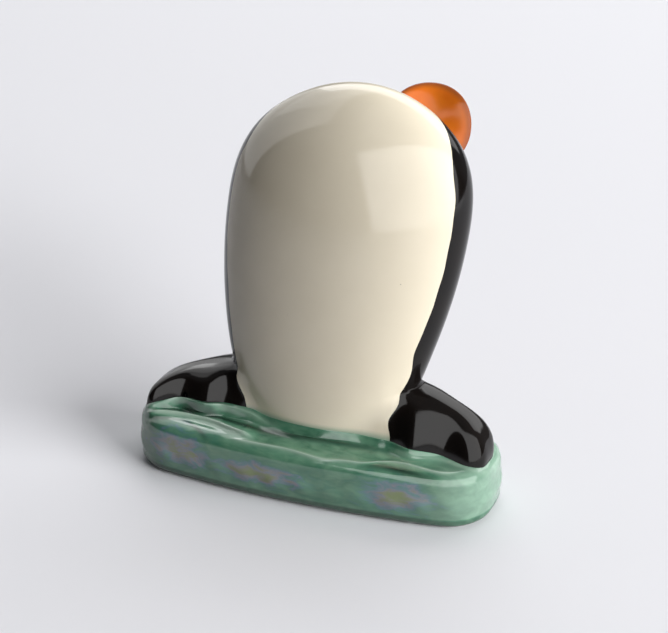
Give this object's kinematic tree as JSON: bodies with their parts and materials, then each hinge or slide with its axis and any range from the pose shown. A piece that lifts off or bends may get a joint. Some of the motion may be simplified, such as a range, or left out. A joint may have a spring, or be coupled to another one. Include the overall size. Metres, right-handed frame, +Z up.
{
  "type": "animal figurine",
  "caption": "Small glazed ceramic figurine of a diving penguin: white belly, black back and wings, orange feet, on a rounded slab of green lustre water.",
  "frame": {"origin": "middle of the slab's underside, where the figurine rests on a shelf", "axes": "+Z up through the body, +Y towards the figure's back, +X along the slab towards the side with the raised foot"},
  "size_m": [0.0574, 0.0348, 0.0611],
  "materials": {
    "green_lustre_glaze": "gloss",
    "white_glaze": "gloss",
    "black_glaze": "gloss",
    "orange_glaze": "gloss",
    "bare_clay": "matte"
  },
  "bodies": {
    "root": {"base_slab": "green_lustre_glaze", "water_swell": "green_lustre_glaze", "belly_shell": "white_glaze", "back_shell": "black_glaze", "seam_coil": "bare_clay", "left_wing": "black_glaze", "right_wing": "black_glaze", "left_foot": "orange_glaze", "right_foot": "orange_glaze", "tail": "black_glaze"}
  },
  "joints": []
}
